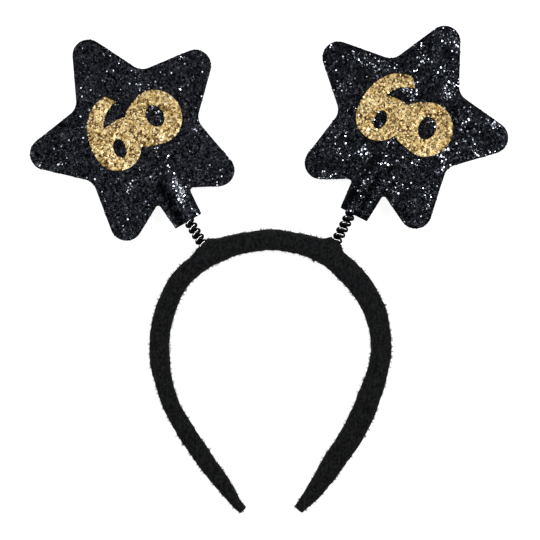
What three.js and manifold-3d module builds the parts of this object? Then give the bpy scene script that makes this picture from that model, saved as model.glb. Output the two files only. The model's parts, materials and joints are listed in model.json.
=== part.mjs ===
// Star headband: a felt-covered hair band whose crown carries two glitter stars on coil springs.
// Millimetres. The band lies on its side edge on the plane Z = 0, its crown towards +Y,
// and the stars' fronts face up. The origin is under the middle of the object's box.
import * as THREE from "three";
import { mergeVertices } from "three/addons/utils/BufferGeometryUtils.js";
import Module from "manifold-3d";

const wasm = await Module();
wasm.setup();

// Clearance between neighbouring pieces, and the height of the springs' axes above the rest plane.
const GAP = 0.3;
const MID_HEIGHT = 7;
// Corners closer than this are one corner.
const MERGE = 1e-4;

// The band's sections, from its left end over the crown to its right end.
// x, y: middle of the section; thick: its width in the band's plane; deep: its height off the rest plane.
const BAND_ROWS = [
  { x: -15.1, y: -132.3, thick: 5.2, deep: 8.0 },
  { x: -18.2, y: -128.9, thick: 5.6, deep: 8.6 },
  { x: -23.2, y: -121.4, thick: 7.6, deep: 9.6 },
  { x: -35.5, y: -104.8, thick: 9.9, deep: 11.0 },
  { x: -46.2, y: -88.6, thick: 9.9, deep: 11.6 },
  { x: -55.2, y: -72.0, thick: 9.4, deep: 12.0 },
  { x: -60.6, y: -44.6, thick: 11.1, deep: 12.6 },
  { x: -57.3, y: -22.5, thick: 10.9, deep: 13.2 },
  { x: -49.2, y: -5.8, thick: 10.9, deep: 13.6 },
  { x: -34.9, y: 6.3, thick: 11.2, deep: 13.9 },
  { x: -27.9, y: 10.2, thick: 12.3, deep: 14.0 },
  { x: -20.4, y: 13.1, thick: 11.6, deep: 14.0 },
  { x: 0.5, y: 16.3, thick: 11.4, deep: 14.0 },
  { x: 19.7, y: 13.3, thick: 11.7, deep: 14.0 },
  { x: 28.0, y: 10.3, thick: 13.1, deep: 14.0 },
  { x: 35.4, y: 5.6, thick: 12.4, deep: 13.9 },
  { x: 47.6, y: -5.8, thick: 13.0, deep: 13.6 },
  { x: 57.7, y: -22.5, thick: 12.2, deep: 13.2 },
  { x: 61.4, y: -44.6, thick: 11.2, deep: 12.6 },
  { x: 54.3, y: -72.0, thick: 12.7, deep: 12.2 },
  { x: 46.8, y: -88.6, thick: 12.7, deep: 11.8 },
  { x: 36.0, y: -105.0, thick: 12.3, deep: 11.2 },
  { x: 24.9, y: -121.6, thick: 9.1, deep: 9.8 },
  { x: 19.4, y: -128.4, thick: 6.6, deep: 8.8 },
  { x: 16.5, y: -131.9, thick: 5.4, deep: 8.2 },
];
const BAND_STATIONS = 76;
const BAND_SIDES = 16;
// Superellipse power of the section, and how far the felt is pressed flat where it rests.
const BAND_POWER = 2.5;
const BAND_PRESS = 0.9;
// Rounding of each end: how far the closing section stands out, and its size against the last one.
const BAND_END = { reach: 0.9, share: 0.6 };

// Socket in the felt for each spring's foot.
const SOCKET_DEPTH = 3.2;
const SOCKET_SIDES = 16;

// Coil spring: radius of the wire's middle line, wire diameter, and rise of one turn.
const SPRING = { radius: 2.0, wire: 2.4, pitch: 3.55, stepsPerTurn: 10, wireSides: 6 };

// Star sheet: radii of the sharp tips and notches, their fillets, and the sheet's thickness.
const STAR = { tip: 70.3, notch: 34.8, tipFillet: 8.8, notchFillet: 8.5, sheet: 1.6, arcSteps: 4 };
const POINTS = 5;
// Stem in the star's lowest notch: half widths and fillets at its root and at its end.
const STEM = { rootHalf: 9.5, endHalf: 8.2, rootFillet: 1.6, endFillet: 0.4 };
// Ridge over the spring's tail: inner height, half width, and where it starts to fade and is gone.
// sink: how far its edges dip into the flat sheet; overcut: how far its channel runs past the stem's end.
const RIDGE = { height: 3.4, half: 7.4, full: -35, gone: -19, rows: 7, columns: 12, sink: 0.1, overcut: 1 };
// Far end of the spring's tail, inside the ridge.
const TAIL_END = -35.5;

// Gold number: a six and a nought cut as one sheet. cx, cy: middle; rx, ry: half sizes of each ellipse;
// webs: curves that fill the notches where the digits meet, closed at their crossing.
const NUMERAL = {
  sheet: 1.0,
  steps: 12,
  nought: { cx: 14.8, cy: 1.4, rx: 14.2, ry: 15.1 },
  noughtHole: { cx: 14.7, cy: 2.1, rx: 4.8, ry: 6.3 },
  bowl: { cx: -11.8, cy: -2.4, rx: 13.0, ry: 12.9 },
  bowlHole: { cx: -11.0, cy: -3.5, rx: 3.5, ry: 5.4 },
  armOuter: { cx: -5.5, cy: 0, rx: 19.3, ry: 25.1, from: 186, to: 84 },
  armInner: { cx: 0.9, cy: 0, rx: 16.7, ry: 19.6, from: 92, to: 168 },
  webs: [
    { from: [-11, 10.4], bend: [-4, 11.2], to: [0.2, 9.8] },
    { from: [0.2, 9.8], bend: [3.2, 13.2], to: [8, 14.6] },
    { from: [8, -12], bend: [2, -11], to: [-0.6, -8.2] },
  ],
  crossing: [2, 1],
};

// The two boppers. x, y, turn: the star's middle and its lean from upright. stemX, stemEnd: the stem's
// shift from the star's middle line, and how far down it ends. springX, springTurn: the spring's shift, and
// where its wire starts, as a share of a turn. tentX, foot, lift, top, spread: the felt tent's shift, how
// far down its top is, its height, and the radii of its top and of its skirt. number: place and turn of
// the gold number in the star's frame, and the lean of the six's hole.
const BOPPERS = [
  {
    side: "left", x: -74, y: 74.5, turn: 30.6,
    stemX: 1, stemEnd: 56.2, springX: 1.2, springTurn: 0.36,
    tentX: 2.5, foot: 71, lift: 2.8, top: 3, spread: 12,
    number: { x: -0.1, y: 0.7, turn: 0, lean: -10 },
  },
  {
    side: "right", x: 73, y: 80.8, turn: -27.55,
    stemX: -0.3, stemEnd: 57.2, springX: -2.0, springTurn: 0.17,
    tentX: -2.4, foot: 73.5, lift: 5, top: 2.5, spread: 8.5,
    number: { x: -0.9, y: 0, turn: 5, lean: 0 },
  },
];

const FELT = new THREE.MeshStandardMaterial({ color: 0x17181a, roughness: 0.96, metalness: 0 });
const BLACK_GLITTER = new THREE.MeshStandardMaterial({ color: 0x202124, roughness: 0.45, metalness: 0.2 });
const GOLD_GLITTER = new THREE.MeshStandardMaterial({ color: 0xb59b69, roughness: 0.35, metalness: 0.7 });
const BLACK_WIRE = new THREE.MeshStandardMaterial({ color: 0x0c0c0d, roughness: 0.4, metalness: 0.5 });

/** Solid of a closed geometry, with its shared corners merged. */
function solidOf(geometry) {
  const bare = geometry.clone();
  bare.deleteAttribute("normal");
  bare.deleteAttribute("uv");
  const merged = mergeVertices(bare, MERGE);
  const vertProperties = new Float32Array(merged.attributes.position.array);
  const triVerts = new Uint32Array(merged.index.array);
  return new wasm.Manifold(new wasm.Mesh({ numProp: 3, vertProperties, triVerts }));
}

/** Geometry of a solid. */
function geometryOf(solid) {
  const { vertProperties, triVerts } = solid.getMesh();
  const geometry = new THREE.BufferGeometry();
  geometry.setAttribute("position", new THREE.BufferAttribute(vertProperties, 3));
  geometry.setIndex(new THREE.BufferAttribute(triVerts, 1));
  geometry.computeVertexNormals();
  return geometry;
}

/** Closed skin over rings of equal length, each turning right-handed about the way the rings follow. */
function loft(rings) {
  const sides = rings[0].length;
  const corners = rings.flat();
  const triangles = [];
  for (let row = 0; row + 1 < rings.length; row++) {
    for (let k = 0; k < sides; k++) {
      const a = row * sides + k;
      const b = row * sides + ((k + 1) % sides);
      triangles.push(a, b, b + sides, a, b + sides, a + sides);
    }
  }
  const last = (rings.length - 1) * sides;
  for (let k = 1; k + 1 < sides; k++) {
    triangles.push(0, k + 1, k, last, last + k, last + k + 1);
  }
  const geometry = new THREE.BufferGeometry().setFromPoints(corners);
  geometry.setIndex(triangles);
  return geometry;
}

/** Power curve of a sine or cosine, which squares up an ellipse. */
function squared(value, power) {
  return Math.sign(value) * Math.abs(value) ** (2 / power);
}

/** Place of a bopper: star's middle at the origin, its stem along -Y, front up. */
function bopperMatrix(bopper) {
  const turned = new THREE.Matrix4().makeRotationZ(THREE.MathUtils.degToRad(bopper.turn));
  return turned.setPosition(bopper.x, bopper.y, MID_HEIGHT);
}

/** Moves a point of the band's outer side up a bopper's felt tent. */
function raiseTent(point, outward, bopper) {
  const place = bopperMatrix(bopper);
  const seat = new THREE.Vector3(bopper.tentX, -bopper.foot - bopper.lift, 0).applyMatrix4(place);
  const along = new THREE.Vector3(0, 1, 0).transformDirection(place);
  const slope = (point.distanceTo(seat) - bopper.top) / (bopper.spread - bopper.top);
  const rise = (1 - THREE.MathUtils.clamp(slope, 0, 1)) ** 2;
  return point.addScaledVector(along, bopper.lift * rise * Math.max(0, outward));
}

/** One ring of the band: a squared ellipse across the spine, cut flat at the rest plane. */
function bandRing(middle, tangent, thick, deep) {
  const outwards = new THREE.Vector3(-tangent.y, tangent.x, 0);
  const ring = [];
  for (let k = 0; k < BAND_SIDES; k++) {
    const angle = (2 * Math.PI * k) / BAND_SIDES;
    const across = squared(Math.cos(angle), BAND_POWER);
    const up = squared(Math.sin(angle), BAND_POWER);
    const point = middle.clone().addScaledVector(outwards, (across * thick) / 2);
    point.z = Math.max(0, (deep - BAND_PRESS) / 2 + (up * (deep + BAND_PRESS)) / 2);
    BOPPERS.forEach((bopper) => raiseTent(point, across, bopper));
    ring.push(point);
  }
  return ring;
}

/** The felt band: its sections along one smooth spine, rounded ends, tents and the springs' sockets. */
function bandGeometry() {
  const spine = new THREE.CatmullRomCurve3(BAND_ROWS.map((row) => new THREE.Vector3(row.x, row.y, 0)));
  const sizes = new THREE.CatmullRomCurve3(BAND_ROWS.map((row) => new THREE.Vector3(row.thick, row.deep, 0)));
  const rings = [];
  const endRing = (t, sign) => {
    const tangent = spine.getTangent(t);
    const size = sizes.getPoint(t);
    const middle = spine.getPoint(t).addScaledVector(tangent, sign * BAND_END.reach);
    return bandRing(middle, tangent, size.x * BAND_END.share, size.y * BAND_END.share);
  };
  rings.push(endRing(0, -1));
  for (let station = 0; station <= BAND_STATIONS; station++) {
    const t = spine.getUtoTmapping(station / BAND_STATIONS);
    const size = sizes.getPoint(t);
    rings.push(bandRing(spine.getPoint(t), spine.getTangent(t), size.x, size.y));
  }
  rings.push(endRing(1, 1));
  const socketRadius = SPRING.radius + SPRING.wire / 2 + GAP;
  return geometryOf(
    BOPPERS.reduce((band, bopper) => {
      const socket = new THREE.CylinderGeometry(socketRadius, socketRadius, 2 * SOCKET_DEPTH, SOCKET_SIDES);
      socket.translate(bopper.springX, -bopper.foot, 0);
      socket.applyMatrix4(bopperMatrix(bopper));
      return band.subtract(solidOf(socket));
    }, solidOf(loft(rings))),
  );
}

/** Helix round the Y axis, rising from `foot` to `tail`, that starts `behind` by a share of a turn. */
class Helix extends THREE.Curve {
  constructor(foot, tail, radius, pitch, behind) {
    super();
    Object.assign(this, { foot, tail, radius, behind, turns: (tail - foot) / pitch });
  }

  getPoint(t, target = new THREE.Vector3()) {
    const angle = 2 * Math.PI * (this.turns * t - this.behind);
    const y = THREE.MathUtils.lerp(this.foot, this.tail, t);
    return target.set(this.radius * Math.sin(angle), y, this.radius * Math.cos(angle));
  }
}

/** A bopper's spring: round wire wound from its socket's floor to its tail inside the star. */
function springGeometry(bopper) {
  const foot = -bopper.foot - SOCKET_DEPTH + GAP + SPRING.wire / 2;
  const helix = new Helix(foot, TAIL_END, SPRING.radius, SPRING.pitch, bopper.springTurn);
  const section = new THREE.Shape();
  for (let k = 0; k < SPRING.wireSides; k++) {
    const angle = (2 * Math.PI * k) / SPRING.wireSides;
    const corner = [(SPRING.wire / 2) * Math.cos(angle), (SPRING.wire / 2) * Math.sin(angle)];
    if (k === 0) section.moveTo(...corner);
    else section.lineTo(...corner);
  }
  section.closePath();
  const steps = Math.round(helix.turns * SPRING.stepsPerTurn);
  const wire = new THREE.ExtrudeGeometry(section, { steps, extrudePath: helix, bevelEnabled: false });
  return wire.translate(bopper.springX, 0, 0);
}

/** Outline through sharp corners, each { x, y, fillet }, in anticlockwise order. */
function filletedShape(corners) {
  const shape = new THREE.Shape();
  corners.forEach((corner, k) => {
    const at = new THREE.Vector2(corner.x, corner.y);
    const before = corners[(k + corners.length - 1) % corners.length];
    const after = corners[(k + 1) % corners.length];
    const back = new THREE.Vector2(before.x, before.y).sub(at).normalize();
    const ahead = new THREE.Vector2(after.x, after.y).sub(at).normalize();
    const half = Math.acos(back.dot(ahead)) / 2;
    const trim = corner.fillet / Math.tan(half);
    const middle = back.clone().add(ahead).setLength(corner.fillet / Math.sin(half)).add(at);
    const start = at.clone().addScaledVector(back, trim).sub(middle);
    const stop = at.clone().addScaledVector(ahead, trim).sub(middle);
    const hollow = back.cross(ahead) > 0;
    shape.absarc(middle.x, middle.y, corner.fillet, start.angle(), stop.angle(), hollow);
  });
  shape.closePath();
  return shape;
}

/** Star outline: five rounded tips, four rounded notches, and the stem in the lowest notch. */
function starShape(bopper) {
  const corners = [];
  const polar = (radius, degrees, fillet) => {
    const angle = THREE.MathUtils.degToRad(degrees);
    corners.push({ x: radius * Math.cos(angle), y: radius * Math.sin(angle), fillet });
  };
  const step = 180 / POINTS;
  for (let k = 0; k < POINTS; k++) {
    polar(STAR.tip, -90 + step * (2 * k + 1), STAR.tipFillet);
    if (k + 1 < POINTS) polar(STAR.notch, -90 + step * (2 * k + 2), STAR.notchFillet);
  }
  const lowTip = corners[0];
  const legY = (x) => THREE.MathUtils.mapLinear(Math.abs(x), 0, lowTip.x, -STAR.notch, lowTip.y);
  for (const sign of [-1, 1]) {
    const rootX = bopper.stemX + sign * STEM.rootHalf;
    const root = { x: rootX, y: legY(rootX), fillet: STEM.rootFillet };
    const endX = bopper.stemX + sign * STEM.endHalf;
    const end = { x: endX, y: -bopper.stemEnd, fillet: STEM.endFillet };
    corners.push(...(sign < 0 ? [root, end] : [end, root]));
  }
  return filletedShape(corners);
}

/** Half shell over the spring's tail: a raised-cosine bell across, fading out towards the star's middle. */
function ridgeGeometry(bopper, base, floor) {
  const rows = [-bopper.stemEnd - RIDGE.overcut];
  for (let row = 0; row <= RIDGE.rows; row++) {
    rows.push(THREE.MathUtils.lerp(RIDGE.full, RIDGE.gone, row / RIDGE.rows));
  }
  const rings = rows.map((y) => {
    const crest = (RIDGE.height + RIDGE.sink) * (1 - THREE.MathUtils.smoothstep(y, RIDGE.full, RIDGE.gone));
    const ring = [];
    for (let column = 0; column <= RIDGE.columns; column++) {
      const share = (2 * column) / RIDGE.columns - 1;
      const bell = Math.cos((share * Math.PI) / 2) ** 2;
      ring.push(new THREE.Vector3(bopper.springX + share * RIDGE.half, y, base - RIDGE.sink + crest * bell));
    }
    ring.push(new THREE.Vector3(bopper.springX + RIDGE.half, y, floor));
    ring.push(new THREE.Vector3(bopper.springX - RIDGE.half, y, floor));
    return ring;
  });
  return loft(rings);
}

/** Front sheet of a star: flat but for the ridge that makes room for the spring's tail. */
function sheetGeometry(bopper) {
  const bottom = GAP / 2;
  const top = bottom + STAR.sheet;
  const outline = starShape(bopper);
  const flatSheet = { depth: STAR.sheet, bevelEnabled: false, curveSegments: STAR.arcSteps };
  const flat = new THREE.ExtrudeGeometry(outline, flatSheet).translate(0, 0, bottom);
  const ridgeRoom = { ...flatSheet, depth: STAR.sheet + 2 * RIDGE.height };
  const room = new THREE.ExtrudeGeometry(outline, ridgeRoom).translate(0, 0, bottom);
  const ridge = solidOf(ridgeGeometry(bopper, top, bottom + STAR.sheet / 2)).intersect(solidOf(room));
  const channel = solidOf(ridgeGeometry(bopper, bottom, bottom - STAR.sheet));
  return geometryOf(solidOf(flat).add(ridge).subtract(channel));
}

/** Gold number: six and nought overlapping in one sheet, with their holes cut through, the six's leaning. */
function numeralGeometry(lean) {
  const options = { depth: NUMERAL.sheet, bevelEnabled: false, curveSegments: NUMERAL.steps };
  const rad = THREE.MathUtils.degToRad;
  const ellipse = ({ cx, cy, rx, ry }, turn = 0) => {
    const shape = new THREE.Shape().absellipse(cx, cy, rx, ry, 0, 2 * Math.PI, false, rad(turn));
    return solidOf(new THREE.ExtrudeGeometry(shape, options));
  };
  const arm = new THREE.Shape();
  const addArc = ({ cx, cy, rx, ry, from, to }) => {
    arm.absellipse(cx, cy, rx, ry, rad(from), rad(to), from > to);
  };
  addArc(NUMERAL.armInner);
  arm.lineTo(NUMERAL.bowl.cx, NUMERAL.bowl.cy);
  addArc(NUMERAL.armOuter);
  arm.closePath();
  const webs = NUMERAL.webs.map(({ from, bend, to }) =>
    new THREE.Shape().moveTo(...from).quadraticCurveTo(...bend, ...to).lineTo(...NUMERAL.crossing),
  );
  const whole = [arm, ...webs].reduce(
    (sum, shape) => sum.add(solidOf(new THREE.ExtrudeGeometry(shape, options))),
    ellipse(NUMERAL.bowl).add(ellipse(NUMERAL.nought)),
  );
  return geometryOf(whole.subtract(ellipse(NUMERAL.bowlHole, lean)).subtract(ellipse(NUMERAL.noughtHole)));
}

/** A named piece. */
function piece(name, geometry, material) {
  const mesh = new THREE.Mesh(geometry, material);
  mesh.name = name;
  return mesh;
}

/** One bopper: spring, front and back sheet, and number, in the star's own frame. */
function makeBopper(bopper) {
  const group = new THREE.Group();
  group.position.set(bopper.x, bopper.y, MID_HEIGHT);
  group.rotation.z = THREE.MathUtils.degToRad(bopper.turn);
  const sheet = sheetGeometry(bopper);
  const back = piece(`star_${bopper.side}_back`, sheet, BLACK_GLITTER);
  back.scale.z = -1;
  const numeral = piece(`numeral_${bopper.side}`, numeralGeometry(bopper.number.lean), GOLD_GLITTER);
  numeral.position.set(bopper.number.x, bopper.number.y, GAP / 2 + STAR.sheet + GAP);
  numeral.rotation.z = THREE.MathUtils.degToRad(bopper.number.turn);
  group.add(piece(`spring_${bopper.side}`, springGeometry(bopper), BLACK_WIRE));
  group.add(piece(`star_${bopper.side}_front`, sheet, BLACK_GLITTER), back, numeral);
  return group;
}

const headband = new THREE.Group();
headband.add(piece("band", bandGeometry(), FELT), ...BOPPERS.map(makeBopper));

export default headband;
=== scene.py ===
"""Star headband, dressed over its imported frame.

A felt-covered hair band carries two coil springs, and each spring carries a flat glitter star with a gold
number. Sizes are in millimetres, as in the part's source, and the meshes get metres.
"""

import json
import logging
import math
from collections.abc import Callable
from dataclasses import dataclass, field
from enum import Enum

import bpy
import numpy as np
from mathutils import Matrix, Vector

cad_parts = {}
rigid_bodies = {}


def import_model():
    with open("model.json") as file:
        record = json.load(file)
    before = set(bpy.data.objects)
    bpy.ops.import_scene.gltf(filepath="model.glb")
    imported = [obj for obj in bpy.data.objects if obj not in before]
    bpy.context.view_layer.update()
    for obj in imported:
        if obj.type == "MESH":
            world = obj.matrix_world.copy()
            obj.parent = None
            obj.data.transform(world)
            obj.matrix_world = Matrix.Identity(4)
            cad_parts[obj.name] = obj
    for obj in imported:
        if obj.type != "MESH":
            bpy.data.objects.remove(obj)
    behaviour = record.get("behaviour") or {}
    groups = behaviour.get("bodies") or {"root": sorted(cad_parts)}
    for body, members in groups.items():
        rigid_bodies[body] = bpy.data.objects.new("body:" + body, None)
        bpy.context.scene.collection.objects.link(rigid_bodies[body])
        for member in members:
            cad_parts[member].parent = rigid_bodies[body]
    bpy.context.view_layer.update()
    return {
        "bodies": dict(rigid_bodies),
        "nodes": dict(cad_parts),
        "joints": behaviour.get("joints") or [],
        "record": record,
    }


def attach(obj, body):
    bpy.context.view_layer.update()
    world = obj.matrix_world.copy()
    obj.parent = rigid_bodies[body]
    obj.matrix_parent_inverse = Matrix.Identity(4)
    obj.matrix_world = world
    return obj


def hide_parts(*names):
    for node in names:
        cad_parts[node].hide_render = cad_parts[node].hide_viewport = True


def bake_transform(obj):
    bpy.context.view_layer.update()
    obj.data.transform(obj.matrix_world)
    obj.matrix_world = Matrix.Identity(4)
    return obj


LOG = logging.getLogger("star_headband")
MM = 0.001
# Height of the springs' axes, and of the seam between each star's two sheets, above the rest plane.
MID_HEIGHT = 7.0

Colour = tuple[float, float, float]
Pair = tuple[float, float]
Wanted = Callable[[np.ndarray, np.ndarray], np.ndarray]


class Side(Enum):
    """Which bopper: seen from the front, with the crown up."""

    LEFT = "left"
    RIGHT = "right"


class Face(Enum):
    """Which sheet of a star, with the sign of its normal."""

    FRONT = 1
    BACK = -1


class Slot(Enum):
    """The record's material slots."""

    FELT = "black_felt"
    WIRE = "black_wire"
    GLITTER = "black_glitter"
    GOLD = "gold_glitter"


def unit(vectors: np.ndarray) -> np.ndarray:
    """Vectors scaled to length one along their last axis."""
    return vectors / np.maximum(np.linalg.norm(vectors, axis=-1, keepdims=True), 1e-12)


def smoothstep(values: np.ndarray, low: float, high: float) -> np.ndarray:
    """Share that goes from 0 at low to 1 at high along 3s^2 - 2s^3."""
    share = np.clip((values - low) / (high - low), 0.0, 1.0)
    return share * share * (3.0 - 2.0 * share)


def ripple(points: np.ndarray, wavelength: float, seed: int, waves: int = 24) -> np.ndarray:
    """Soft random height of about -1 to 1: a sum of sine waves of random heading, length and phase.

    Args:
        points: Places, with the axes last.
        wavelength: Middle length of the waves.
        seed: Picks the waves.
        waves: How many there are.

    Returns:
        One height for each place.
    """
    rng = np.random.default_rng(seed)
    lengths = wavelength * rng.uniform(0.7, 1.5, (waves, 1))
    headings = unit(rng.normal(size=(waves, 3))) * (2.0 * math.pi / lengths)
    phases = rng.uniform(0.0, 2.0 * math.pi, waves)
    return np.sin(points @ headings.T + phases).sum(axis=-1) / math.sqrt(2.0 * waves)


@dataclass
class Surface:
    """A skin of corners, in millimetres, and the faces between them, kept by number of sides."""

    points: np.ndarray
    faces: list[np.ndarray]

    @classmethod
    def tube(cls, rings: np.ndarray) -> "Surface":
        """Skins closed rings one after the other and closes both ends.

        Corner k of ring j makes one quad with corner k + 1 and with ring j + 1. At each end a fan of
        triangles meets in the mean of the ring.

        Args:
            rings: Places by ring, corner and axis. Each ring turns right-handed about the way on.

        Returns:
            The closed skin.
        """
        rows, sides = rings.shape[:2]
        index = np.arange(rows * sides).reshape(rows, sides)
        ahead = np.roll(index, -1, axis=1)
        quads = np.stack([index[:-1], ahead[:-1], ahead[1:], index[1:]], axis=-1).reshape(-1, 4)
        first, last = np.full(sides, rows * sides), np.full(sides, rows * sides + 1)
        fans = [
            np.stack([first, ahead[0], index[0]], axis=-1),
            np.stack([last, index[-1], ahead[-1]], axis=-1),
        ]
        points = np.concatenate([rings.reshape(-1, 3), rings[[0, -1]].mean(axis=1)])
        return cls(points, [quads, np.concatenate(fans)])

    @classmethod
    def wheel(cls, rings: np.ndarray) -> "Surface":
        """Skins rings that come back to the first one, so the skin has no ends.

        Args:
            rings: Places by ring, corner and axis, without the first ring again.

        Returns:
            The closed skin.
        """
        index = np.arange(rings.shape[0] * rings.shape[1]).reshape(rings.shape[:2])
        ahead, on = np.roll(index, -1, axis=1), np.roll(index, -1, axis=0)
        quads = np.stack([index, ahead, np.roll(on, -1, axis=1), on], axis=-1)
        return cls(rings.reshape(-1, 3), [quads.reshape(-1, 4)])

    @classmethod
    def copies(cls, corners: np.ndarray, faces: list[np.ndarray]) -> "Surface":
        """Joins many shapes that have the same faces.

        Args:
            corners: Places by shape, corner and axis.
            faces: Corner numbers of one shape's faces, kept by number of sides.

        Returns:
            All the shapes as one skin.
        """
        shift = corners.shape[1] * np.arange(len(corners))[:, None, None]
        return cls(corners.reshape(-1, 3), [(shift + face).reshape(-1, face.shape[1]) for face in faces])

    @classmethod
    def joined(cls, parts: list["Surface"]) -> "Surface":
        """Several skins as one, each keeping its own corners.

        Args:
            parts: The skins.

        Returns:
            The joined skin.
        """
        starts = np.cumsum([0] + [len(part.points) for part in parts])
        faces = [face + start for part, start in zip(parts, starts) for face in part.faces]
        return cls(np.concatenate([part.points for part in parts]), faces)

    @classmethod
    def of_node(cls, node: bpy.types.Object) -> "Surface":
        """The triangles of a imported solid, in millimetres.

        Args:
            node: The solid.

        Returns:
            Its skin.
        """
        points = np.empty(3 * len(node.data.vertices))
        node.data.vertices.foreach_get("co", points)
        corners = np.empty(3 * len(node.data.loop_triangles), np.int32)
        node.data.loop_triangles.foreach_get("vertices", corners)
        return cls(points.reshape(-1, 3) / MM, [corners.reshape(-1, 3)])

    def scatter(self, count: int, rng: np.random.Generator, wanted: Wanted) -> tuple[np.ndarray, np.ndarray]:
        """Draws places on the skin, evenly by area.

        A triangle is drawn by its area, then a point in it from two random shares of its edges, folded
        back where they add up to more than one.

        Args:
            count: How many places to draw.
            rng: Source of the draws.
            wanted: Gives each triangle's weight from its middle and its normal.

        Returns:
            The places and their normals.
        """
        fans = [(face, k) for face in self.faces for k in range(1, face.shape[1] - 1)]
        corners = np.concatenate([self.points[face[:, [0, k, k + 1]]] for face, k in fans])
        edges = corners[:, 1:] - corners[:, :1]
        cross = np.cross(edges[:, 0], edges[:, 1])
        weight = np.linalg.norm(cross, axis=1) * wanted(corners.mean(axis=1), unit(cross))
        drawn = rng.choice(len(weight), count, p=weight / weight.sum())
        share = rng.random((count, 2))
        share = np.where(share.sum(axis=1, keepdims=True) > 1.0, 1.0 - share, share)
        return corners[drawn, 0] + np.einsum("ij,ijk->ik", share, edges[drawn]), unit(cross[drawn])

    def to_object(self, name: str, smooth: bool, tone: np.ndarray | None = None) -> bpy.types.Object:
        """Puts the skin into a new object at the origin.

        Args:
            name: Name of the piece.
            smooth: Whether its faces are shaded smooth.
            tone: A number for each corner, kept as the attribute "tone".

        Returns:
            The new object.
        """
        mesh = bpy.data.meshes.new(name)
        mesh.from_pydata(self.points * MM, [], [row for face in self.faces for row in face.tolist()])
        mesh.polygons.foreach_set("use_smooth", np.full(len(mesh.polygons), smooth))
        if tone is not None:
            mesh.attributes.new("tone", "FLOAT", "POINT").data.foreach_set("value", tone.astype(np.float32))
        piece = bpy.data.objects.new(name, mesh)
        bpy.context.scene.collection.objects.link(piece)
        return piece


def dress(piece: bpy.types.Object, finish: bpy.types.Material) -> bpy.types.Object:
    """Gives a piece its material, and reports it.

    Args:
        piece: The piece.
        finish: Its material.

    Returns:
        The same piece.
    """
    piece.data.materials.append(finish)
    LOG.info("%s: %d faces, %s", piece.name, len(piece.data.polygons), finish.name)
    return piece


class Nodes:
    """Adds nodes to one shader tree."""

    def __init__(self, tree: bpy.types.NodeTree) -> None:
        """Keeps the tree."""
        self.tree = tree

    def add(self, kind: str, inputs: dict | None = None, **settings: object) -> bpy.types.Node:
        """Adds a node.

        Args:
            kind: The node's type name, without the leading ShaderNode.
            inputs: Value or source socket for each input, by name or number.
            **settings: The node's own settings.

        Returns:
            The new node.
        """
        node = self.tree.nodes.new("ShaderNode" + kind)
        for name, value in settings.items():
            setattr(node, name, value)
        for name, value in (inputs or {}).items():
            if isinstance(value, bpy.types.NodeSocket):
                self.tree.links.new(value, node.inputs[name])
            else:
                node.inputs[name].default_value = value
        return node

    def math(self, operation: str, *values: object) -> bpy.types.NodeSocket:
        """Result of a Math node on values or sockets."""
        return self.add("Math", dict(enumerate(values)), operation=operation).outputs[0]

    def vector(self, operation: str, *values: object) -> bpy.types.NodeSocket:
        """Result of a Vector Math node on values or sockets."""
        return self.add("VectorMath", dict(enumerate(values)), operation=operation).outputs[0]

    def between(self, share: bpy.types.NodeSocket, low: object, high: object) -> bpy.types.NodeSocket:
        """Number that goes from low to high as share goes from 0 to 1."""
        return self.add("MapRange", {"Value": share, "To Min": low, "To Max": high}).outputs[0]

    def ramp(self, share: bpy.types.NodeSocket, stops: list[tuple[float, Colour]]) -> bpy.types.NodeSocket:
        """Colour read from a ramp of places and colours.

        Args:
            share: Where on the ramp to read.
            stops: The ramp's places and colours.

        Returns:
            The colour's socket.
        """
        node = self.add("ValToRGB", {"Fac": share})
        elements = node.color_ramp.elements
        while len(elements) < len(stops):
            elements.new(1.0)
        for element, (place, colour) in zip(elements, stops):
            element.position, element.color = place, (*colour, 1.0)
        return node.outputs["Color"]

    def mix(self, share: object, first: object, second: object) -> bpy.types.NodeSocket:
        """Colour mixed from two by a share."""
        inputs = {"Factor": share, 6: first, 7: second}
        return self.add("Mix", inputs, data_type="RGBA").outputs[2]


@dataclass(frozen=True)
class Group:
    """A shader node group that several finishes share."""

    name: str
    inputs: tuple[str, ...]
    outputs: tuple[tuple[str, str], ...]

    def start(self) -> tuple[Nodes, bpy.types.Node, bpy.types.Node]:
        """Makes the empty group and its sockets.

        Returns:
            Its nodes, and the nodes that stand for its inputs and outputs.
        """
        tree = bpy.data.node_groups.new(self.name, "ShaderNodeTree")
        for name in self.inputs:
            tree.interface.new_socket(name, in_out="INPUT", socket_type="NodeSocketFloat")
        for name, kind in self.outputs:
            tree.interface.new_socket(name, in_out="OUTPUT", socket_type=f"NodeSocket{kind}")
        return Nodes(tree), tree.nodes.new("NodeGroupInput"), tree.nodes.new("NodeGroupOutput")

    def build(self) -> bpy.types.NodeTree:
        """Fills the group; each kind of group does this in its own way."""
        raise NotImplementedError

    def place(self, nodes: Nodes, **values: float) -> bpy.types.Node:
        """Places the group in a material, made at its first use.

        Args:
            nodes: The material's nodes.
            **values: The group's inputs, with _ for each space.

        Returns:
            The group's node.
        """
        tree = bpy.data.node_groups.get(self.name) or self.build()
        inputs = {name.replace("_", " "): value for name, value in values.items()}
        node = nodes.tree.nodes.new("ShaderNodeGroup")
        node.node_tree = tree
        for name, value in inputs.items():
            node.inputs[name].default_value = value
        return node


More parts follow.
